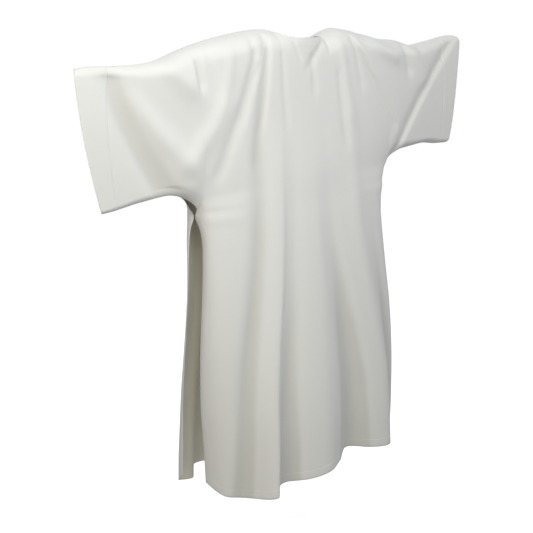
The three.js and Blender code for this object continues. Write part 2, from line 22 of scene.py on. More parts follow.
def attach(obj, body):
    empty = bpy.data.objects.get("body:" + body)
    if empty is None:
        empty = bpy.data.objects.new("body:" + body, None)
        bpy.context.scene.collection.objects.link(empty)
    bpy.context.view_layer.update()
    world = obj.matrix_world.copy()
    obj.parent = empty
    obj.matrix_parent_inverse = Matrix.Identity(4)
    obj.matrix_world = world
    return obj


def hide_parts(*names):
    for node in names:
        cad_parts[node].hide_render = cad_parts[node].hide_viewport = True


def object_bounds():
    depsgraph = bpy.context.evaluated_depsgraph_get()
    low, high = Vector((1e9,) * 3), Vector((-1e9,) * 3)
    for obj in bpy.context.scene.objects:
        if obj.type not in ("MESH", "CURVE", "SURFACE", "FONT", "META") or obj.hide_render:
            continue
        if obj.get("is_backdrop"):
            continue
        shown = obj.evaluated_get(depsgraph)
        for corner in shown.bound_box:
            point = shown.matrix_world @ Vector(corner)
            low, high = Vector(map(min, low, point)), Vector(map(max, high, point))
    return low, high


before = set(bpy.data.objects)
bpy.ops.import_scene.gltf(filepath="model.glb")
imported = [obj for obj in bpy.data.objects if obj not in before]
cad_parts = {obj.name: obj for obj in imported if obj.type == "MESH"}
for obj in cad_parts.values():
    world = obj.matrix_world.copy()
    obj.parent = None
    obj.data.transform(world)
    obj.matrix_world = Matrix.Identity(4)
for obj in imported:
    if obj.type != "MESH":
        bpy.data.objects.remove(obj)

LOG = logging.getLogger("dalmatic")
Array = np.ndarray
MM = 0.001
TINY = 1e-9
FAR_FROM_EDGES = 1000.0


class Side(Enum):
    """The two faces of the garment, by the sign of Y."""

    BACK = 1
    FRONT = -1


class Hand(Enum):
    """The wearer's two sides, by the sign of X."""

    LEFT = 1
    RIGHT = -1


# ---- Small curves ----


def ease(at: Array, low: float, high: float) -> Array:
    """A smooth step: 0 up to low, 1 from high on, and 3t^2 - 2t^3 between them."""
    share = np.clip((at - low) / (high - low), 0.0, 1.0)
    return share * share * (3.0 - 2.0 * share)


def blend(first: Array, second: Array, share: Array) -> Array:
    """The value that lies at a share of the way from the first to the second."""
    return first + (second - first) * share


def round_over(distance: Array, radius: Array) -> Array:
    """A quarter circle's rise: 0 at the start, 1 from the distance radius on."""
    return np.sqrt(1.0 - (1.0 - np.clip(distance / radius, 0.0, 1.0)) ** 2)


def through(values: Sequence[float], share: Array) -> Array:
    """The parabola through three values, at shares 0, 1/2 and 1."""
    first, middle, last = values
    return (
        (1 - share) * (1 - 2 * share) * first
        + 4 * share * (1 - share) * middle
        + share * (2 * share - 1) * last
    )


def fall_share(down: Array) -> Array:
    """The share of the way from the shoulder to the underarm that a row has come: half a cosine wave."""
    return (1 - np.cos(np.pi * down)) / 2


def leaning(distance: Array, wide: Array, lean: float) -> Array:
    """A distance beside a fold in its half widths, which a lean makes larger on one side of it."""
    return distance / (wide * (1 + np.sign(distance) * lean))


@dataclass(frozen=True)
class Table:
    """Rows of a short table, with a smooth curve through each of its columns."""

    columns: str
    rows: tuple[tuple[float, ...], ...]

    def column(self, name: str) -> Array:
        """One column as an array."""
        return np.array([row[self.columns.split().index(name)] for row in self.rows], dtype=float)

    def along(self, name: str, at: Array) -> Array:
        """The column's value at places along the first column.

        Each stretch between two rows is the cubic whose end slopes are those of the rows' neighbours.

        Args:
            name: The column.
            at: Places, held within the table's ends.

        Returns:
            The values, in the shape of the places.
        """
        key = self.column(self.columns.split()[0])
        value = self.column(name)
        slope = np.empty_like(value)
        slope[1:-1] = (value[2:] - value[:-2]) / (key[2:] - key[:-2])
        slope[0] = (value[1] - value[0]) / (key[1] - key[0])
        slope[-1] = (value[-1] - value[-2]) / (key[-1] - key[-2])
        place = np.clip(at, key[0], key[-1])
        row = np.clip(np.searchsorted(key, place, side="left") - 1, 0, len(key) - 2)
        span = key[row + 1] - key[row]
        share = (place - key[row]) / span
        start = (1 + 2 * share) * (1 - share) ** 2
        slopes = share * (1 - share) * ((1 - share) * slope[row] - share * slope[row + 1])
        return start * value[row] + (1 - start) * value[row + 1] + span * slopes

    def by_hand(self, at: Array, across: Array) -> Array:
        """The left column's value on the wearer's left, and the right column's on the other side."""
        return np.where(across >= 0, self.along("left", at), self.along("right", at))


# ---- The cut and the hang, in millimetres ----


@dataclass(frozen=True)
class Cut:
    """The garment's driving sizes, which both panels and both bands share.

    Slip is how far the garment has slid to its left on the shoulders. A tilt is how far in a cuff's lower
    corner lies from its upper one. The roundness table holds the powers that shape the body's section.
    """

    half_span: float = 710.0
    slip: float = 12.0
    left_tilt: float = 60.0
    right_tilt: float = 26.0
    cuff_curve: float = 1.6
    band_top: float = 90.0
    band_bottom: float = 50.0
    cuff_swing: float = 0.6
    underarm_drop: float = 470.0
    underarm_round: float = 100.0
    neck_half: float = 90.0
    hem_drop: float = 1260.0
    yoke_drop: float = 60.0
    body_drop: float = 400.0
    seam: float = 0.16
    seam_closing: float = 17.0
    body_reach: float = 0.2
    swing_start: float = 430.0
    fan_power: float = 1.5
    inner_room: float = 6.0
    ridge: Table = Table(
        "out left right",
        (
            (78, 0, -20),
            (104, 5, -9),
            (140, 9, 0),
            (200, 6, -8),
            (260, -1, -22),
            (340, -14, -40),
            (410, -31, -48),
            (480, -51, -66),
            (540, -58, -62),
            (620, -57, -52),
            (680, -54, -47),
            (722, -56, -55),
        ),
    )
    underside: Table = Table(
        "out left right",
        (
            (350, -400, -392),
            (420, -402, -386),
            (480, -402, -382),
            (560, -408, -378),
            (620, -416, -386),
            (680, -420, -390),
        ),
    )
    fullness: Table = Table(
        "out back front over under",
        (
            (0, 60, 56, 58, 240),
            (120, 61, 57, 58, 230),
            (200, 62, 56, 56, 210),
            (300, 58, 52, 52, 150),
            (400, 49, 45, 44, 52),
            (500, 38, 35, 35, 28),
            (600, 28, 26, 27, 20),
            (722, 18, 17, 20, 12),
        ),
    )
    roundness: Table = Table(
        "drop width back front",
        (
            (60, 1.07, 2, 2),
            (300, 1.04, 2, 2),
            (400, 1.02, 1.8, 1.8),
            (440, 1.01, 0.9, 0.9),
            (470, 1, 0.45, 0.5),
            (510, 0.98, 0.55, 0.7),
            (700, 0.91, 0.6, 1.25),
            (1000, 0.78, 0.78, 1.1),
            (1200, 0.78, 0.78, 0.9),
        ),
    )

    def slipped(self, out: float, across: Array | float) -> Array:
        """A distance out to one side, for a garment that has slipped to its left on the shoulders."""
        return out + np.where(np.asarray(across) >= 0, self.slip, -self.slip)


@dataclass(frozen=True)
class LongFold:
    """A fold that runs down a lane of the cloth to the hem.

    The half width is in lanes and the rise in millimetres out of the cloth, both at the top, middle and hem.
    A lean above 0 makes it wider on its left and sharper on its right.
    """

    name: str
    start: float
    lane: float
    wide: tuple[float, float, float]
    rise: tuple[float, float, float]
    lean: float = 0.0


@dataclass(frozen=True)
class Drape:
    """A short fold from one place (out, height) to another, its middle moved sideways by its bow.

    A lean makes it wider on one side of its run and sharper on the other.
    """

    name: str
    start: tuple[float, float]
    end: tuple[float, float]
    bow: float
    wide: tuple[float, float]
    rise: float
    lean: float = 0.0


@dataclass(frozen=True)
class PanelPlan:
    """What makes one panel different from the other: its neck, body, hem, lanes and folds.

    The creases are fine folds that the panel's solid doesn't have.
    """

    side: Side
    neck_reach: float
    neck_height: float
    neck_power: float
    body: Table
    hem: Table
    lanes: Table
    long_folds: tuple[LongFold, ...]
    drapes: tuple[Drape, ...]
    creases: tuple[Drape, ...]


BACK_PLAN = PanelPlan(
    side=Side.BACK,
    neck_reach=62,
    neck_height=-17,
    neck_power=1.6,
    body=Table(
        "drop left right middle edge",
        (
            (60, 370, 352, 56, 53),
            (300, 370, 352, 74, 53),
            (400, 370, 344, 84, 46),
            (440, 369, 340, 88, 32),
            (470, 368, 336, 91, 3),
            (510, 364, 326, 97, 18),
            (560, 362, 321, 104, 25),
            (700, 371, 332, 125, 30),
            (850, 384, 350, 149, 34),
            (1000, 388, 358, 174, 36),
            (1120, 384, 354, 190, 40),
            (1290, 380, 346, 204, 45),
        ),
    ),
    hem=Table(
        "across height",
        (
            (-1, -1236),
            (-0.85, -1250),
            (-0.60, -1253),
            (-0.38, -1260),
            (-0.23, -1249),
            (-0.10, -1238),
            (0.05, -1252),
            (0.3, -1262),
            (0.55, -1276),
            (0.72, -1268),
            (0.85, -1257),
            (1, -1238),
        ),
    ),
    lanes=Table(
        "lane share fan",
        (
            (-1, 0, 0),
            (-0.70, 0.12, -0.07),
            (-0.32, 0.31, -0.08),
            (-0.11, 0.43, -0.01),
            (0.06, 0.55, 0.10),
            (0.17, 0.69, 0.20),
            (0.26, 0.80, 0.29),
            (0.42, 0.88, 0.32),
            (0.65, 0.94, 0.21),
            (1, 1, 0),
        ),
    ),
    long_folds=(
        LongFold("crest", 100, 0.18, (0.04, 0.038, 0.034), (4, 9, 44), 0.45),
        LongFold("hollow outside it", 20, 0.30, (0.05, 0.07, 0.10), (-5, -13, -20)),
        LongFold("hollow inside it", 140, 0.115, (0.045, 0.042, 0.04), (-4, -8, -34)),
        LongFold("middle roll", 250, -0.01, (0.05, 0.05, 0.05), (3, 6, 20), 0.4),
        LongFold("deep valley", 100, -0.11, (0.05, 0.055, 0.06), (-7, -10, -64)),
        LongFold("right roll", 60, -0.32, (0.06, 0.08, 0.09), (7, 7, 20)),
        LongFold("right side hollow", 250, -0.53, (0.09, 0.10, 0.12), (-6, -9, -58)),
    ),
    drapes=(
        Drape("left dip", (630, -98), (482, -392), 8, (26, 36), -24, -0.2),
        Drape("left sleeve hollow", (550, -140), (430, -220), 0, (40, 50), -5),
        Drape("left outer swag", (560, -150), (400, -330), 10, (24, 28), 7),
        Drape("left inner swag", (420, -318), (300, -190), 14, (28, 26), 5),
        Drape("left knob", (455, -80), (418, -112), 0, (30, 30), 12),
        Drape("knob crease", (388, -62), (380, -112), 0, (12, 14), -10, -0.5),
        Drape("left shoulder hollow", (348, -60), (332, -130), 0, (14, 16), -4),
        Drape("left shoulder roll", (284, -50), (378, -265), -24, (14, 22), 5),
        Drape("left inner crease", (195, -45), (322, -350), -6, (11, 20), -7),
        Drape("left main crease", (152, -20), (200, -330), 0, (10, 22), -7),
        Drape("right neck crease", (-50, -34), (-4, -90), 0, (10, 14), -4),
        Drape("right shoulder roll", (-125, -45), (-165, -240), 0, (16, 20), 5),
        Drape("right crease", (-180, -35), (-373, -290), 4, (11, 14), -5, 0.3),
        Drape("right inner lobe", (-285, -50), (-358, -90), 0, (22, 20), 9),
        Drape("right lobe valley", (-418, -66), (-440, -130), 0, (14, 16), -8),
        Drape("right outer lobe", (-465, -92), (-510, -165), 0, (24, 24), 8),
        Drape("right dip", (-655, -66), (-390, -386), 10, (18, 18), -10, 0.4),
    ),
    creases=(
        Drape("left outer neck hook", (200, -4), (204, -40), 3, (7, 9), -6),
        Drape("left inner neck hook", (156, -4), (172, -46), 3, (7, 9), -6),
        Drape("left main line", (150, -44), (176, -250), -8, (7, 10), -5, 0.4),
        Drape("left long line", (184, -79), (244, -219), 4, (8, 12), -4),
        Drape("left neck line", (58, -18), (38, -62), 0, (9, 10), -3),
        Drape("left middle line", (101, -59), (88, -234), 0, (10, 14), -3),
        Drape("right neck dent", (-13, -74), (-22, -154), 0, (9, 13), -4),
        Drape("right middle line", (-119, -123), (-144, -308), 0, (10, 14), -4),
        Drape("right shoulder line", (-178, -32), (-212, -158), 0, (8, 12), -5),
        Drape("right shoulder edge", (-195, -32), (-275, -140), 4, (7, 8), 3),
    ),
)

FRONT_PLAN = PanelPlan(
    side=Side.FRONT,
    neck_reach=68,
    neck_height=-88,
    neck_power=0.9,
    body=Table(
        "drop left right middle edge",
        (
            (60, 370, 352, 52, 49),
            (300, 370, 352, 68, 49),
            (400, 370, 344, 75, 42),
            (440, 370, 340, 78, 30),
            (470, 370, 336, 81, 3),
            (510, 372, 331, 86, 14),
            (560, 374, 332, 91, 20),
            (700, 377, 340, 107, 26),
            (850, 381, 352, 127, 37),
            (1000, 384, 362, 146, 49),
            (1120, 386, 366, 160, 52),
            (1290, 386, 368, 174, 60),
        ),
    ),
    hem=Table(
        "across height",
        (
            (-1, -1238),
            (-0.85, -1258),
            (-0.4, -1278),
            (0, -1284),
            (0.3, -1300),
            (0.6, -1296),
            (0.85, -1282),
            (1, -1252),
        ),
    ),
    lanes=Table(
        "lane share fan",
        (
            (-1, 0, 0),
            (-0.65, 0.12, -0.13),
            (-0.36, 0.24, -0.17),
            (-0.18, 0.38, -0.08),
            (0, 0.50, 0),
            (0.18, 0.62, 0.09),
            (0.36, 0.76, 0.19),
            (0.65, 0.88, 0.14),
            (1, 1, 0),
        ),
    ),
    long_folds=(
        LongFold("left side hollow", 260, 0.45, (0.08, 0.11, 0.15), (-4, -16, -42)),
        LongFold("left roll", 90, 0.25, (0.05, 0.06, 0.07), (6, 9, 26)),
        LongFold("left hollow", 150, 0.13, (0.05, 0.06, 0.06), (-6, -8, -34)),
        LongFold("middle roll", 300, -0.01, (0.06, 0.07, 0.08), (3, 5, 18)),
        LongFold("right hollow", 120, -0.18, (0.05, 0.06, 0.08), (-7, -9, -40)),
        LongFold("right roll", 70, -0.36, (0.05, 0.06, 0.08), (7, 8, 26)),
        LongFold("right side hollow", 280, -0.57, (0.08, 0.09, 0.10), (-5, -7, -16)),
    ),
    drapes=(
        Drape("left dip", (655, -85), (460, -388), 10, (24, 32), -13, -0.5),
        Drape("left outer swag", (590, -195), (425, -312), 16, (28, 28), 6),
        Drape("left inner swag", (415, -312), (290, -180), 16, (26, 24), 5),
        Drape("left knob", (405, -78), (450, -116), 0, (30, 26), 10),
        Drape("left crease", (245, -35), (330, -300), -10, (13, 22), -7, 0.2),
        Drape("left neck crease", (142, -20), (185, -250), -4, (11, 20), -7),
        Drape("right neck crease", (-122, -24), (-165, -290), 4, (11, 18), -7),
        Drape("right crease", (-225, -40), (-345, -320), 10, (13, 22), -7),
        Drape("right knob", (-400, -80), (-468, -128), 0, (26, 24), 10),
        Drape("right outer swag", (-580, -190), (-410, -305), -16, (28, 28), 6),
        Drape("right dip", (-640, -85), (-430, -385), -10, (20, 26), -12, 0.5),
    ),
    creases=(
        Drape("left knob hook", (428, -66), (398, -116), -16, (9, 12), -4),
        Drape("left shoulder line", (196, -20), (232, -150), 4, (8, 12), -4),
        Drape("left middle line", (96, -90), (84, -260), 0, (10, 14), -3),
        Drape("right middle line", (-66, -110), (-82, -290), 0, (10, 14), -3),
        Drape("right shoulder line", (-176, -24), (-222, -170), -4, (8, 12), -4),
    ),
)


@dataclass
class Cloth:
    """One panel's cloth as a surface of two parameters.

    `lane` runs from -2 (right cuff) to 2 (left cuff), with the body between -1 and 1. `down` runs from 0 at
    the shoulder to 1 at the underarm, and on to 2 at the hem. Points are (x, y, z) in millimetres, with y
    away from the middle plane on either side.
    """

    plan: PanelPlan
    cut: Cut = field(default_factory=Cut)
    slope_step: float = 0.004
    fold_start: float = 0.35
    end_length: float = 1.6
    shoulder_fade: float = 0.2
    underarm_fade: float = 0.85
    seam_fade: float = 0.1
    half_way: float = 0.5
    least_room: float = 0.01
    deep_fold: float = 16.0

    @property
    def sign(self) -> int:
        """1 on the back, -1 on the front."""
        return self.plan.side.value

    def drop_share(self, down: Array) -> Array:
        """The share of the way to the hem that a row has come: a cosine to the underarm, then straight.

        Args:
            down: Rows.

        Returns:
            Shares, from 0 at the shoulder to 1 at the hem.
        """
        upper = self.cut.underarm_drop / self.cut.hem_drop
        fallen = upper * fall_share(np.minimum(down, 1))
        return np.where(down <= 1, fallen, blend(upper, 1.0, down - 1))

    def lane_across(self, lane: Array, down: Array) -> Array:
        """Where a lane lies across the panel: it fans out with the drop share to a power."""
        return lane + self.plan.lanes.along("fan", lane) * self.drop_share(down) ** self.cut.fan_power

    def section(self, across: Array, height: Array) -> tuple[Array, Array]:
        """The body's section at a height, as half a rounded box.

        Out is the half width times sin(turn) to a power, and depth goes from the edge's to the middle's by
        cos(turn) to a power, where the turn is a quarter circle from the middle to the side.

        Args:
            across: Shares across the body, from -1 to 1.
            height: Heights, with 0 at the shoulder.

        Returns:
            How far out and how deep the cloth is.
        """
        drop = -height
        turn = np.abs(across) * np.pi / 2
        out_share = np.sin(turn) ** self.cut.roundness.along("width", drop)
        depth_power = self.cut.roundness.along(self.plan.side.name.lower(), drop)
        depth_share = np.maximum(np.cos(turn), 0) ** depth_power
        out = self.plan.body.by_hand(drop, across) * out_share
        edge = self.plan.body.along("edge", drop)
        return out, blend(edge, self.plan.body.along("middle", drop), depth_share)

    def lower(self, across: Array, down: Array) -> Array:
        """The cloth between the underarm and the hem: the body's section at heights spread evenly down.

        Args:
            across: Shares across the body, from -1 to 1.
            down: Rows, from 1 to 2.

        Returns:
            Points.
        """
        z = blend(-self.cut.underarm_drop, self.plan.hem.along("height", across), down - 1)
        out, depth = self.section(across, z)
        return np.stack([np.sign(across) * out, depth, z], axis=-1)

    def upper(self, across: Array, down: Array) -> Array:
        """The cloth between the shoulder line and the underarm.

        It goes over the shoulder in a quarter ellipse and hangs. The body takes up its own section on the way
        down, and a sleeve turns in to the seam on its underside in another quarter ellipse.

        Args:
            across: Shares across the body, and past 1 along a sleeve, on either side.
            down: Rows, from 0 to 1.

        Returns:
            Points.
        """
        cut, plan = self.cut, self.plan
        in_sleeve = np.maximum(np.abs(across) - 1, 0)
        in_body = np.clip(across, -1, 1)
        waist = plan.body.by_hand(np.full_like(across, cut.yoke_drop), across)
        body_out = self.section(in_body, np.full_like(across, -cut.yoke_drop))[0]
        tilt = np.where(across >= 0, cut.left_tilt, cut.right_tilt)
        top_out = body_out + in_sleeve * (cut.slipped(cut.half_span, across) - waist)
        low_out = top_out - in_sleeve * tilt

        neck_half = cut.slipped(cut.neck_half, across)
        in_neck = np.sqrt(np.maximum(1 - (top_out / neck_half) ** 2, 0))
        ridge = cut.ridge.by_hand(np.maximum(top_out, neck_half), across)
        top_z = blend(ridge, plan.neck_height, in_neck**plan.neck_power)
        top_y = cut.seam / 2 + plan.neck_reach * in_neck

        curve = 1 - round_over(low_out - waist, cut.underarm_round)
        sleeve_z = blend(cut.underside.by_hand(low_out, across), -cut.underarm_drop, curve)
        length = top_z - np.where(in_sleeve > 0, sleeve_z, -cut.underarm_drop)
        fall = length * fall_share(down)
        z = top_z - fall

        section_out, section_depth = self.section(in_body, z)
        body_share = ease(-z, cut.yoke_drop, cut.body_drop) * (1 - ease(in_sleeve, 0, cut.body_reach))
        side_name = self.plan.side.name.lower()
        depth = blend(cut.fullness.along(side_name, top_out), section_depth, body_share)
        hang = blend(top_y, depth, round_over(fall, cut.fullness.along("over", top_out)))
        turned_in = round_over(length - fall, cut.fullness.along("under", top_out))
        seam_share = np.where(in_sleeve > 0, 1 - np.exp((waist - low_out) / cut.seam_closing), 0)
        y = blend(cut.seam / 2, hang, blend(1, turned_in, seam_share))
        out = section_out - body_out + blend(top_out, low_out, (fall / length) ** cut.cuff_curve)
        return np.stack([np.sign(across) * out, y, z], axis=-1)

    def base(self, lane: Array, down: Array) -> Array:
        """The cloth before its folds.

        Args:
            lane: Lanes.
            down: Rows.

        Returns:
            Points.
        """
        across = self.lane_across(lane, down)
        above = self.upper(across, np.minimum(down, 1))
        below = self.lower(np.clip(across, -1, 1), np.maximum(down, 1))
        return np.where((down <= 1)[..., None], above, below)

    def long_fold_rise(self, lane: Array, down: Array) -> Array:
        """The long folds' rise: each a bell curve across the lanes, whose width and height change down it.

        Args:
            lane: Lanes.
            down: Rows.

        Returns:
            The rise in millimetres, below 0 in a hollow.
        """
        total = np.zeros_like(lane)
        for fold in self.plan.long_folds:
            fallen = self.drop_share(down) * self.cut.hem_drop - fold.start
            share = np.clip(fallen / (self.cut.hem_drop - fold.start), 0, 1)
            beside = leaning(lane - fold.lane, through(fold.wide, share), fold.lean)
            total += through(fold.rise, share) * np.exp(-(beside**2)) * ease(share, 0, self.fold_start)
        return total

    def drape_rise(self, x: Array, z: Array) -> Array:
        """The short folds' rise: each a bell curve round a bowed line, seen along Y.

        Args:
            x: How far to the left the places lie.
            z: Their heights.

        Returns:
            The rise in millimetres, below 0 in a hollow.
        """
        total = np.zeros_like(x)
        for drape in self.plan.drapes + self.plan.creases:
            run = np.subtract(drape.end, drape.start)
            length = float(np.hypot(*run))
            run = run / length
            here_x, here_z = x - drape.start[0], z - drape.start[1]
            s = (here_x * run[0] + here_z * run[1]) / length
            t = np.clip(s, 0, 1)
            sideways = run[0] * here_z - run[1] * here_x - drape.bow * 4 * t * (1 - t)
            wide = blend(drape.wide[0], drape.wide[1], t)
            beside = leaning(sideways, wide, drape.lean)
            past = (s - t) * length / (wide * self.end_length)
            total += drape.rise * np.exp(-(beside**2) - past**2)
        return total

    def rise(self, lane: Array, down: Array, point: Array) -> Array:
        """How far the cloth moves out along its normal.

        Folds fade to nothing at the seams, and a hollow slows exponentially as it nears the middle plane.

        Args:
            lane: Lanes.
            down: Rows.
            point: The places of the cloth before its folds.

        Returns:
            The rise in millimetres, below 0 in a hollow.
        """
        in_sleeve = np.maximum(np.abs(lane) - 1, 0)
        x, y, z = np.moveaxis(point, -1, 0)
        total = np.exp(-((in_sleeve / self.cut.body_reach) ** 2)) * self.long_fold_rise(lane, down)
        draped = self.drape_rise(x, z) * (1 - ease(down, self.underarm_fade, 1))
        total = total + np.where(down <= 1, draped, 0)
        by_shoulder = (down < self.half_way) & (np.abs(x) > self.cut.slipped(self.cut.neck_half, x))
        total = total * np.where(by_shoulder, ease(down, 0, self.shoulder_fade), 1)
        near_seam = ease(in_sleeve, 0, self.seam_fade) * ease(down, self.underarm_fade, 1)
        total = total * np.where((down > self.half_way) & (down <= 1), 1 - near_seam, 1)
        room = np.maximum(y - self.cut.inner_room, self.least_room)
        return np.where(total < 0, -room * (1 - np.exp(np.minimum(total, 0) / room)), total)

    def normal(self, surface: Callable[[Array, Array], Array], lane: Array, down: Array) -> Array:
        """The outward normal of a surface: the cross product of its slopes across and down.

        Args:
            surface: Gives points at lanes and rows.
            lane: Lanes.
            down: Rows.

        Returns:
            Vectors of length 1.
        """
        step = self.slope_step
        limit = np.where(down > 1, 1.0, 2.0)
        low_end = np.where(np.abs(lane) > 1, 1.0, 2.0)
        across = surface(np.clip(lane + step, -limit, limit), down)
        across = across - surface(np.clip(lane - step, -limit, limit), down)
        along = surface(lane, np.minimum(down + step, low_end)) - surface(lane, np.maximum(down - step, 0))
        normal = np.cross(across, along)
        return normal / np.linalg.norm(normal, axis=-1, keepdims=True)

    def folded(self, lane: Array, down: Array) -> Array:
        """The cloth with its folds, and with each cuff's end sheared, its forward half towards the body.

        Args:
            lane: Lanes.
            down: Rows.

        Returns:
            Points.
        """
        base = self.base(lane, down)
        point = base + self.normal(self.base, lane, down) * self.rise(lane, down, base)[..., None]
        swing = ease(np.abs(point[..., 0]), self.cut.swing_start, self.cut.half_span)
        point[..., 0] += swing * self.cut.cuff_swing * self.sign * np.sign(point[..., 0]) * point[..., 1]
        return point

    def place(self, lane: Array, down: Array) -> tuple[Array, Array]:
        """The finished cloth on the panel's own side of the middle plane.

        Args:
            lane: Lanes.
            down: Rows.

        Returns:
            Points and outward normals.
        """
        point = self.folded(lane, down)
        normal = self.normal(self.folded, lane, down)
        on_side = np.array([1.0, float(self.sign), 1.0])
        return point * on_side, normal * on_side

    def band_share(self, across: Array, down: Array, gap: float = 0.0) -> Array:
        """The share of a sleeve's length at which its band's seam lies, or a gap short of it.

        The band's width is blended from its top to its bottom.

        Args:
            across: Places whose sign tells the sleeve.
            down: Rows, from 0 to 1.
            gap: How far short of the seam, in millimetres.

        Returns:
            Shares, from 0 at the body to 1 at the cuff.
        """
        waist = self.plan.body.by_hand(np.full_like(down, self.cut.yoke_drop), across)
        width = blend(self.cut.band_top, self.cut.band_bottom, fall_share(down)) + gap
        return 1 - width / (self.cut.slipped(self.cut.half_span, across) - waist)


# ---- Meshes ----


@dataclass
class Patch:
    """Points, normals and faces of one layer of cloth, with values that its finish reads.

    `flat` is each point's place on the flat cloth, `edge` its distance to a free edge, and `hollow` how deep
    in a fold it lies, which the finish turns into painted shade.
    """

    points: Array
    normals: Array
    quads: Array
    flat: Array
    edge: Array
    hollow: Array


def thicken(name: str, patch: Patch, cloth: float, proud: float = 0.0) -> bpy.types.Object:
    """Makes a closed wall of cloth from its outer layer.

    The inner layer is the outer one moved in by the cloth's thickness. A loop between them, half way in and
    moved out past the edge by half the thickness, rounds every edge.

    Args:
        name: The piece's name.
        patch: The outer layer, in millimetres.
        cloth: The wall's thickness.
        proud: How far the outer layer stands out of the patch.

    Returns:
        The object, with its UV map in metres of flat cloth and the attributes `edge`, `hollow` and `inner`.
    """
    count = len(patch.points)
    quads = patch.quads
    edges = np.concatenate([quads[:, [0, 1]], quads[:, [1, 2]], quads[:, [2, 3]], quads[:, [3, 0]]])
    key = edges[:, 0] * count + edges[:, 1]
    twin = edges[:, 1] * count + edges[:, 0]
    rim = edges[~np.isin(key, twin)]
    tangent = patch.points[rim[:, 1]] - patch.points[rim[:, 0]]
    sideways = np.cross(tangent, patch.normals[rim[:, 0]])
    sideways /= np.maximum(np.linalg.norm(sideways, axis=1, keepdims=True), TINY)
    outward = np.zeros_like(patch.points)
    np.add.at(outward, rim[:, 0], sideways)
    np.add.at(outward, rim[:, 1], sideways)
    ring = np.unique(rim)
    length = np.maximum(np.linalg.norm(outward[ring], axis=1, keepdims=True), TINY)
    bulge = outward[ring] / length * cloth / 2
    outer = patch.points + patch.normals * proud
    middle = outer[ring] - patch.normals[ring] * cloth / 2 + bulge
    inner = outer - patch.normals * cloth
    points = np.concatenate([outer, inner, middle])
    ring_at = np.zeros(count, dtype=int)
    ring_at[ring] = 2 * count + np.arange(len(ring))
    first, second = rim[:, 0], rim[:, 1]
    outer_rim = np.stack([second, first, ring_at[first], ring_at[second]], axis=1)
    inner_rim = np.stack([ring_at[second], ring_at[first], first + count, second + count], axis=1)
    faces = np.concatenate([quads, quads[:, ::-1] + count, outer_rim, inner_rim])
    source = np.concatenate([np.arange(count), np.arange(count), ring])
    return grid_object(name, points, faces, patch, source)


def grid_object(name: str, points: Array, faces: Array, patch: Patch, source: Array) -> bpy.types.Object:
    """Puts points and quads into a new smooth-shaded mesh object at the origin.

    Args:
        name: The object's name.
        points: Places in millimetres.
        faces: Four point numbers a face.
        patch: The layer whose values the points take.
        source: Each point's number in that layer.

    Returns:
        The object, linked to the scene.
    """
    mesh = bpy.data.meshes.new(name)
    mesh.vertices.add(len(points))
    mesh.vertices.foreach_set("co", (points * MM).astype(np.float32).ravel())
    mesh.loops.add(faces.size)
    mesh.loops.foreach_set("vertex_index", faces.astype(np.int32).ravel())
    mesh.polygons.add(len(faces))
    mesh.polygons.foreach_set("loop_start", np.arange(0, faces.size, 4, dtype=np.int32))
    mesh.update(calc_edges=True)
    mesh.validate()
    mesh.polygons.foreach_set("use_smooth", np.ones(len(mesh.polygons), dtype=bool))
    corner = np.empty(len(mesh.loops), dtype=np.int32)
    mesh.loops.foreach_get("vertex_index", corner)
    layer = mesh.uv_layers.new(name="cloth")
    layer.uv.foreach_set("vector", (patch.flat[source[corner]] * MM).astype(np.float32).ravel())
    count = len(patch.points)
    inner = np.zeros(len(points))
    inner[count : 2 * count] = 1
    for label, values in (("edge", patch.edge[source]), ("hollow", patch.hollow[source]), ("inner", inner)):
        attribute = mesh.attributes.new(label, "FLOAT", "POINT")
        attribute.data.foreach_set("value", values.astype(np.float32))
    piece = bpy.data.objects.new(name, mesh)
    bpy.context.collection.objects.link(piece)
    return piece


# ---- Shader maths ----


class Value:
    """A shader socket that can be used in sums, each of which adds a Math node."""

    def __init__(self, shader: "Shader", socket: bpy.types.NodeSocket) -> None:
        """Wraps one output socket of a shader's node."""
        self.shader = shader
        self.socket = socket

    def __add__(self, other: "Value | float") -> "Value":
        """The sum of two values."""
        return self.shader.math("ADD", self, other)

    def __sub__(self, other: "Value | float") -> "Value":
        """This value less another."""
        return self.shader.math("SUBTRACT", self, other)

    def __rsub__(self, other: float) -> "Value":
        """A number less this value."""
        return self.shader.math("SUBTRACT", other, self)

    def __mul__(self, other: "Value | float") -> "Value":
        """The product of two values."""
        return self.shader.math("MULTIPLY", self, other)

    __radd__ = __add__
    __rmul__ = __mul__

    def clamped(self, low: float, high: float) -> "Value":
        """A smooth step.

        Args:
            low: Where the step starts, at 0.
            high: Where it ends, at 1.

        Returns:
            The step's value.
        """
        settings = {"interpolation_type": "SMOOTHSTEP"}
        inputs = {"Value": self, "From Min": low, "From Max": high}
        return self.shader.node("ShaderNodeMapRange", settings, inputs, "Result")


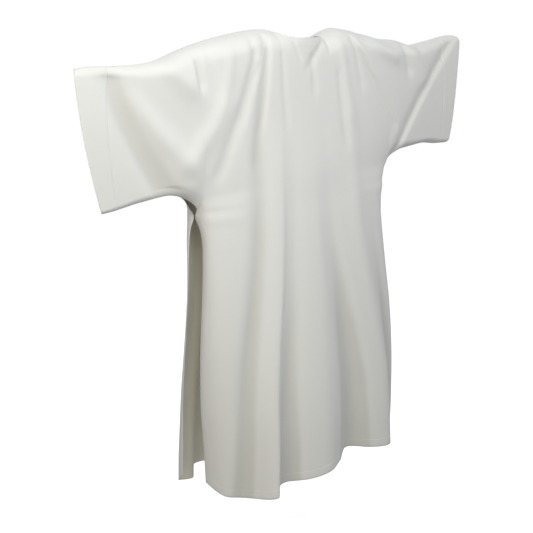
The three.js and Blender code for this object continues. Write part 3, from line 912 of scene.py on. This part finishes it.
class Shader:
    """A material with one Principled BSDF, built node by node."""

    def __init__(self, name: str) -> None:
        """Makes the material and its two fixed nodes.

        Args:
            name: The material's name.
        """
        self.material = bpy.data.materials.new(name)
        self.material.use_nodes = True
        self.tree = self.material.node_tree
        self.tree.nodes.clear()
        self.surface = self.tree.nodes.new("ShaderNodeBsdfPrincipled")
        output = self.tree.nodes.new("ShaderNodeOutputMaterial")
        self.tree.links.new(self.surface.outputs["BSDF"], output.inputs["Surface"])

    def feed(self, socket: bpy.types.NodeSocket, given: object) -> None:
        """Links a value to an input socket, or sets the number or colour on it.

        Args:
            socket: The input socket.
            given: A value, number or colour.
        """
        if isinstance(given, Value):
            self.tree.links.new(given.socket, socket)
        else:
            socket.default_value = given

    def node(self, kind: str, settings: dict, inputs: dict, output: str | int = 0) -> Value:
        """Adds a node.

        Args:
            kind: The node's type.
            settings: Properties to set before its sockets.
            inputs: Numbers, colours or values, by the name or number of a socket.
            output: The output socket to return.

        Returns:
            That output as a value.
        """
        made = self.tree.nodes.new(kind)
        for name, value in settings.items():
            setattr(made, name, value)
        for name, given in inputs.items():
            self.feed(made.inputs[name], given)
        return Value(self, made.outputs[output])

    def math(self, operation: str, first: object, second: object) -> Value:
        """Adds a Math node."""
        return self.node("ShaderNodeMath", {"operation": operation}, {0: first, 1: second})

    def mix(self, share: object, first: object, second: object) -> Value:
        """Adds a colour mix. Sockets 6 and 7 are the two colours of a Mix node."""
        settings = {"data_type": "RGBA"}
        return self.node("ShaderNodeMix", settings, {0: share, 6: first, 7: second}, 2)

    def noise(self, place: Value, scale: float, detail: float = 2.0) -> Value:
        """Adds a noise texture's value at a place."""
        inputs = {"Vector": place, "Scale": scale, "Detail": detail}
        return self.node("ShaderNodeTexNoise", {}, inputs)

    def stretched(self, place: Value, scale: tuple[float, float, float]) -> Value:
        """A place scaled by another amount along each axis."""
        return self.node("ShaderNodeMapping", {}, {"Vector": place, "Scale": scale})

    def attribute(self, name: str) -> Value:
        """The number that the mesh holds under a name."""
        return self.node("ShaderNodeAttribute", {"attribute_name": name}, {}, "Fac")

    def set(self, **inputs: object) -> None:
        """Feeds sockets of the Principled BSDF, whose names have underscores for spaces here."""
        for name, given in inputs.items():
            self.feed(self.surface.inputs[name.replace("_", " ")], given)


@dataclass(frozen=True)
class IvoryWeave:
    """Smooth matte plain-woven cloth with a turned edge, and painted light: a darker, warmer painted shade in
    its hollows and a lighter, yellower painted bounce light on its inner face.

    Lengths are metres, but for the turned edge's width and blur, which are millimetres as `edge` is.
    """

    name: str
    light: tuple[float, float, float, float] = (0.82, 0.80, 0.745, 1.0)
    # Painted shade: the darker, warmer colour that the hollows of the folds take. The random mottle mixes
    # towards it too.
    shade_and_mottle_colour: tuple[float, float, float, float] = (0.69, 0.67, 0.60, 1.0)
    # Painted bounce light: the inner face is given a lighter, yellower colour than the outer, for light
    # bounced and passed through inside the garment.
    inside: tuple[float, float, float, float] = (0.88, 0.84, 0.72, 1.0)
    hollow_shade_share: float = 0.8
    cloud_tint: float = 0.35
    cloud_scale: float = 5.0
    cloud_detail: float = 3.0
    roughness: float = 0.86
    roughness_change: float = 0.1
    thread_pitch: float = 0.0007
    thread_height: float = 0.00004
    thread_waver: float = 0.6
    slub_scales: tuple[tuple[float, float, float], ...] = ((1400, 90, 1), (90, 1400, 1))
    slub_share: float = 0.9
    turned_edge: float = 24.0
    turned_blur: float = 1.2
    turned_height: float = 0.0005

    def material(self) -> bpy.types.Material:
        """Builds the material.

        The weave is a product of two waves over the flat cloth, broken by noise that is drawn out along each
        thread direction. A wave repeats every pi / (10 * scale). The turned edge is a step in height where
        the distance to a free edge passes its width.

        Returns:
            The material.
        """
        shader = Shader(self.name)
        flat = shader.node("ShaderNodeUVMap", {"uv_map": "cloth"}, {})
        body = shader.node("ShaderNodeTexCoord", {}, {}, "Object")
        wave = {"Vector": flat, "Scale": math.pi / (10 * self.thread_pitch), "Distortion": self.thread_waver}
        waves = [
            shader.node("ShaderNodeTexWave", {"bands_direction": direction}, wave, "Fac")
            for direction in ("X", "Y")
        ]
        slubs = [shader.noise(shader.stretched(flat, scale), 1.0) for scale in self.slub_scales]
        cloudy = shader.noise(body, self.cloud_scale, self.cloud_detail)
        hollow = shader.attribute("hollow").clamped(0.0, 1.0)
        # Painted shade in the hollows of the folds, plus random mottle from the cloudy noise.
        shade_and_mottle_share = (hollow * self.hollow_shade_share + (cloudy - 0.5) * self.cloud_tint).clamped(0.0, 1.0)
        threads = waves[0] * waves[1] + (slubs[0] + slubs[1]) * self.slub_share
        edge = shader.attribute("edge")
        turned = 1 - edge.clamped(self.turned_edge - self.turned_blur, self.turned_edge + self.turned_blur)
        height = threads * self.thread_height + turned * self.turned_height
        relief = {"Strength": 1.0, "Distance": 1.0, "Height": height}
        bump = shader.node("ShaderNodeBump", {}, relief, "Normal")
        outside = shader.mix(shade_and_mottle_share, self.light, self.shade_and_mottle_colour)
        # Painted bounce light: the inner layer takes the lighter, yellower inside colour.
        shade = shader.mix(shader.attribute("inner").clamped(0.0, 1.0), outside, self.inside)
        shader.set(
            Base_Color=shade,
            Roughness=self.roughness + (slubs[0] - 0.5) * self.roughness_change,
            Normal=bump,
            Sheen_Weight=0.25,
            Sheen_Roughness=0.4,
            Specular_IOR_Level=0.25,
        )
        return shader.material


@dataclass(frozen=True)
class StudioPaper:
    """The pale floor's matte paper."""

    colour: tuple[float, float, float, float] = (0.9, 0.9, 0.9, 1.0)
    glow: float = 0.8

    def material(self) -> bpy.types.Material:
        """Builds the material, which glows, as evenly lit paper does.

        Returns:
            The material.
        """
        shader = Shader("studio_paper")
        shader.set(Base_Color=self.colour, Roughness=0.9)
        shader.set(Emission_Color=self.colour, Emission_Strength=self.glow)
        return shader.material


# ---- Pieces ----


def dress(piece: bpy.types.Object, node: str, material: bpy.types.Material) -> bpy.types.Object:
    """Gives a piece its finish and puts it in place of a solid in the frame.

    Args:
        piece: The piece.
        node: The solid that it stands for.
        material: Its finish.

    Returns:
        The piece.
    """
    piece.data.materials.append(material)
    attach(piece, "root")
    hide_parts(node)
    return piece


@dataclass
class Panel:
    """The back or the front of the garment, cut in one with half of both sleeves."""

    plan: PanelPlan
    slot: str = "ivory_cloth"
    cloth: float = 1.4
    band_gap: float = 0.4
    body_columns: int = 150
    sleeve_columns: int = 56
    upper_rows: int = 96
    lower_rows: int = 118

    def columns(self) -> Array:
        """The grid's columns: a sleeve's evenly spread, and the body's at equal steps of the lanes' share.

        Returns:
            Columns from the right band (-2) to the left one (2), with the body between -1 and 1.
        """
        shares = np.arange(1, self.sleeve_columns + 1) / self.sleeve_columns
        by_share = Table("share lane", tuple(zip(*(self.plan.lanes.column(c) for c in ("share", "lane")))))
        body = by_share.along("lane", np.linspace(0, 1, self.body_columns + 1))
        return np.concatenate([-1 - shares[::-1], body, 1 + shares])

    def lane(self, surface: Cloth, column: Array, down: Array) -> Array:
        """Lanes at columns and rows: a sleeve's columns share out its length up to the band's seam."""
        in_sleeve = np.maximum(np.abs(column) - 1, 0) * surface.band_share(column, down, self.band_gap)
        return np.sign(column) * (np.minimum(np.abs(column), 1) + in_sleeve)

    def patch(self) -> Patch:
        """Works out the outer layer: a wide grid above the underarm, and a narrow one on from its last row.

        Returns:
            The layer.
        """
        surface = Cloth(self.plan)
        columns = self.columns()
        wide, narrow = len(columns), self.body_columns + 1
        upper_down = np.linspace(0, 1, self.upper_rows + 1)
        lower_down = 1 + np.arange(1, self.lower_rows + 1) / self.lower_rows
        upper_column, upper_down = np.meshgrid(columns, upper_down)
        upper_lane = self.lane(surface, upper_column, upper_down)
        body = slice(self.sleeve_columns, self.sleeve_columns + narrow)
        lower_lane, lower_down = np.meshgrid(columns[body], lower_down)
        points_up, normals_up = surface.place(upper_lane, upper_down)
        points_low, normals_low = surface.place(lower_lane, lower_down)

        upper_index = np.arange(upper_lane.size).reshape(upper_lane.shape)
        lower_index = upper_lane.size + np.arange(lower_lane.size).reshape(lower_lane.shape)
        joined = np.concatenate([upper_index[-1:, body], lower_index])
        quads = np.concatenate([self.faces(upper_index), self.faces(joined)])
        if self.plan.side is Side.BACK:
            quads = quads[:, ::-1]

        flat_up = self.flat(points_up, wide // 2)
        flat_low = self.flat(np.concatenate([points_up[-1:, body], points_low]), narrow // 2)[1:]
        flat_low[..., 1] += flat_up[-1, body, 1]
        edge_up = self.neck_distance(points_up, surface.cut)
        edge_low = self.slit_and_hem_distance(points_low)
        hollow_up = self.hollow(surface, upper_lane, upper_down)
        hollow_low = self.hollow(surface, lower_lane, lower_down)
        return Patch(
            points=np.concatenate([points_up.reshape(-1, 3), points_low.reshape(-1, 3)]),
            normals=np.concatenate([normals_up.reshape(-1, 3), normals_low.reshape(-1, 3)]),
            quads=quads,
            flat=np.concatenate([flat_up.reshape(-1, 2), flat_low.reshape(-1, 2)]),
            edge=np.concatenate([edge_up.ravel(), edge_low.ravel()]),
            hollow=np.concatenate([hollow_up.ravel(), hollow_low.ravel()]),
        )

    @staticmethod
    def faces(index: Array) -> Array:
        """The quads of a grid of point numbers."""
        corners = (index[:-1, :-1], index[1:, :-1], index[1:, 1:], index[:-1, 1:])
        return np.stack([corner.ravel() for corner in corners], axis=1)

    @staticmethod
    def flat(points: Array, middle: int) -> Array:
        """Places on the flat cloth: the length along each row from the middle column, and down each column.

        Args:
            points: A grid of points.
            middle: The middle column's number.

        Returns:
            A grid of pairs.
        """
        steps_across = np.linalg.norm(np.diff(points, axis=1), axis=2)
        steps_down = np.linalg.norm(np.diff(points, axis=0), axis=2)
        across = np.pad(np.cumsum(steps_across, axis=1), ((0, 0), (1, 0)))
        down = np.pad(np.cumsum(steps_down, axis=0), ((1, 0), (0, 0)))
        return np.stack([across - across[:, middle : middle + 1], down], axis=-1)

    @staticmethod
    def neck_distance(points: Array, cut: Cut) -> Array:
        """The distance to the neck's edge: the hypotenuse of the length down a column and its start beside it.

        Args:
            points: The grid above the underarm.
            cut: The garment's sizes.

        Returns:
            A distance for each point.
        """
        steps = np.linalg.norm(np.diff(points, axis=0), axis=2)
        down = np.pad(np.cumsum(steps, axis=0), ((1, 0), (0, 0)))
        x = points[:1, :, 0]
        beside = np.maximum(np.abs(x) - cut.slipped(cut.neck_half, x), 0)
        return np.hypot(down, beside)

    @staticmethod
    def slit_and_hem_distance(points: Array) -> Array:
        """The distance along the grid to the nearest of the two slit edges and the hem.

        Args:
            points: The grid below the underarm.

        Returns:
            A distance for each point.
        """
        across = np.linalg.norm(np.diff(points, axis=1), axis=2)
        down = np.linalg.norm(np.diff(points, axis=0), axis=2)
        from_right = np.pad(np.cumsum(across, axis=1), ((0, 0), (1, 0)))
        from_left = from_right[:, -1:] - from_right
        from_hem = np.pad(np.cumsum(down[::-1], axis=0), ((1, 0), (0, 0)))[::-1]
        return np.minimum(np.minimum(from_right, from_left), from_hem)

    @staticmethod
    def hollow(surface: Cloth, lane: Array, down: Array) -> Array:
        """How deep in a fold the cloth is, from 0 on a ridge to 1 in a hollow: the mask of the finish's
        painted shade.
        """
        base = surface.base(lane, down)
        return np.clip(-surface.rise(lane, down, base) / surface.deep_fold, 0, 1)

    def build(self, material: bpy.types.Material) -> bpy.types.Object:
        """Makes the panel.

        Args:
            material: Its finish.

        Returns:
            The piece.
        """
        node = f"{self.plan.side.name.lower()}_panel"
        piece = thicken(f"{node}_cloth", self.patch(), self.cloth)
        return dress(piece, node, material)


@dataclass
class CuffBand:
    """The band of double cloth round the end of a sleeve."""

    hand: Hand
    slot: str = "ivory_band"
    cloth: float = 2.0
    proud: float = 0.5
    columns: int = 14
    around_half: int = 96

    def patch(self) -> Patch:
        """Works out the outer layer: a ring, down the back half of the sleeve's end and up the front half.

        Returns:
            The layer.
        """
        half = np.linspace(0, 1, self.around_half + 1)
        strips = []
        for plan, down in ((BACK_PLAN, half), (FRONT_PLAN, half[::-1])):
            surface = Cloth(plan)
            share, rows = np.meshgrid(np.linspace(0, 1, self.columns + 1), down)
            seam = surface.band_share(np.full_like(rows, self.hand.value), rows)
            lane = self.hand.value * (1 + blend(seam, 1.0, share))
            points, normals = surface.place(lane, rows)
            normals[..., 0] *= 0
            normals[[0, -1], :, 1] = 0
            points[[0, -1], :, 1] = 0
            normals /= np.linalg.norm(normals, axis=-1, keepdims=True)
            strips.append((points[:-1], normals[:-1]))
        points = np.concatenate([strip[0] for strip in strips])
        normals = np.concatenate([strip[1] for strip in strips])
        index = np.arange(points.shape[0] * points.shape[1]).reshape(points.shape[:2])
        ring = np.concatenate([index, index[:1]])
        quads = Panel.faces(ring)
        if self.hand is Hand.LEFT:
            quads = quads[:, ::-1]
        flat = Panel.flat(points, 0)
        return Patch(
            points=points.reshape(-1, 3),
            normals=normals.reshape(-1, 3),
            quads=quads,
            flat=flat.reshape(-1, 2),
            edge=np.full(index.size, FAR_FROM_EDGES),
            hollow=np.zeros(index.size),
        )

    def build(self, material: bpy.types.Material) -> bpy.types.Object:
        """Makes the band.

        Args:
            material: Its finish.

        Returns:
            The piece.
        """
        node = f"{self.hand.name.lower()}_cuff_band"
        piece = thicken(f"{node}_cloth", self.patch(), self.cloth, self.proud)
        return dress(piece, node, material)


# ---- The studio ----


@dataclass(frozen=True)
class SoftLamp:
    """A square area light: where it stands, its power in watts, its colour, what it faces and its size."""

    name: str
    place: tuple[float, float, float]
    power: float
    colour: tuple[float, float, float]
    aim: tuple[float, float, float] = (0.0, 0.0, -0.3)
    size: float = 0.9


@dataclass(frozen=True)
class Studio:
    """A pale floor, soft lights and the camera, in metres and degrees."""

    lens: float = 74.3
    sensor: float = 36.0
    distance: float = 3.124
    azimuth: float = 43.6
    height: float = 0.208
    turn: float = -1.46
    tilt: float = 15.93
    roll: float = 0.11
    floor_drop: float = 0.2
    paper_radius: float = 9.0
    paper_bend: float = 3.0
    paper_height: float = 14.0
    paper_sides: int = 96
    bend_steps: int = 12
    room_light: float = 0.35
    room_colour: tuple[float, float, float, float] = (0.90, 0.94, 1.0, 1.0)
    lamps: tuple[SoftLamp, ...] = (
        SoftLamp("key", (0.74, 1.28, 0.73), 16.0, (0.87, 0.93, 1.0)),
        SoftLamp("left", (1.9, 0.9, 0.9), 12.0, (1.0, 0.93, 0.78)),
        SoftLamp("right", (-1.2, 1.1, 1.2), 9.0, (0.92, 0.93, 0.92)),
        SoftLamp("low left", (1.7, 1.1, -1.1), 2.0, (1.0, 0.84, 0.45), (0.2, 0.0, -1.1), 0.7),
        SoftLamp("front", (-0.5, -2.0, 1.0), 16.0, (0.95, 0.97, 1.0)),
    )

    def camera(self) -> None:
        """Aims the camera down at the garment from behind its left shoulder."""
        azimuth, yaw = math.radians(self.azimuth), math.radians(self.azimuth + self.turn)
        tilt, roll = math.radians(self.tilt), math.radians(self.roll)
        place = Vector((self.distance * math.sin(azimuth), self.distance * math.cos(azimuth), self.height))
        ahead = Vector((-math.sin(yaw) * math.cos(tilt), -math.cos(yaw) * math.cos(tilt), -math.sin(tilt)))
        right = ahead.cross(Vector((0, 0, 1))).normalized()
        up = right.cross(ahead)
        turned_right = right * math.cos(roll) - up * math.sin(roll)
        turned_up = right * math.sin(roll) + up * math.cos(roll)
        lens = bpy.data.cameras.new("camera")
        lens.lens, lens.sensor_width = self.lens, self.sensor
        camera = bpy.data.objects.new("camera", lens)
        axes = Matrix((turned_right, turned_up, -ahead)).transposed()
        camera.matrix_world = Matrix.Translation(place) @ axes.to_4x4()
        bpy.context.collection.objects.link(camera)
        bpy.context.scene.camera = camera

    @staticmethod
    def lamp(lamp: SoftLamp) -> None:
        """Adds a square area light at its place, turned to what it faces.

        Args:
            lamp: The lamp.
        """
        light = bpy.data.lights.new(lamp.name, "AREA")
        light.energy, light.size, light.color = lamp.power, lamp.size, lamp.colour
        made = bpy.data.objects.new(lamp.name, light)
        made.location = Vector(lamp.place)
        made.rotation_euler = (Vector(lamp.aim) - made.location).to_track_quat("-Z", "Y").to_euler()
        made.visible_camera = False
        bpy.context.collection.objects.link(made)

    def lights(self) -> None:
        """Adds the soft lamps and the room's even light."""
        for lamp in self.lamps:
            self.lamp(lamp)
        world = bpy.data.worlds.new("studio")
        world.use_nodes = True
        background = world.node_tree.nodes["Background"]
        background.inputs["Color"].default_value = self.room_colour
        background.inputs["Strength"].default_value = self.room_light
        bpy.context.scene.world = world
        bpy.context.scene.view_settings.view_transform = "Standard"

    def floor(self) -> None:
        """Lays the pale floor below the hem, and curves it up all round into a backdrop.

        The paper is a surface of revolution: flat to the bend, then a quarter circle, then straight up.
        """
        turn = np.linspace(0, math.pi / 2, self.bend_steps + 1)
        bend = self.paper_bend
        radius = np.concatenate([[0.0], self.paper_radius + bend * np.sin(turn), [self.paper_radius + bend]])
        height = np.concatenate([[0.0], bend * (1 - np.cos(turn)), [self.paper_height]])
        angle = np.linspace(0, 2 * math.pi, self.paper_sides, endpoint=False)
        x, y = np.outer(radius, np.cos(angle)), np.outer(radius, np.sin(angle))
        z = np.broadcast_to(height[:, None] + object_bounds()[0].z - self.floor_drop, x.shape)
        index = np.arange(x.size).reshape(x.shape)
        quads = Panel.faces(np.concatenate([index, index[:, :1]], axis=1))
        mesh = bpy.data.meshes.new("paper")
        mesh.from_pydata(np.stack([x, y, z], axis=-1).reshape(-1, 3).tolist(), [], quads.tolist())
        mesh.polygons.foreach_set("use_smooth", np.ones(len(mesh.polygons), dtype=bool))
        paper = bpy.data.objects.new("paper", mesh)
        paper.data.materials.append(StudioPaper().material())
        paper.visible_diffuse = False
        paper.visible_glossy = False
        paper.visible_shadow = False
        bpy.context.collection.objects.link(paper)
        paper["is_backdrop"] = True


def corners(box: Sequence[Vector]) -> list[list[float]]:
    """A box's lowest and highest corners as plain lists."""
    return [list(corner) for corner in box]


def main() -> None:
    """Builds the studio and every piece of the garment."""
    logging.basicConfig(level=logging.INFO, format="%(name)s: %(message)s")
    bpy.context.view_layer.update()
    studio = Studio()
    studio.camera()
    studio.lights()
    studio.floor()
    weave = IvoryWeave("ivory_weave").material()
    band_weave = IvoryWeave("ivory_band_weave").material()
    back = Panel(BACK_PLAN).build(weave)
    front = Panel(FRONT_PLAN).build(weave)
    bands = [CuffBand(hand).build(band_weave) for hand in Hand]
    for piece in (back, front, *bands):
        LOG.info("%s has %d faces", piece.name, len(piece.data.polygons))


if __name__ == "__main__":
    main()
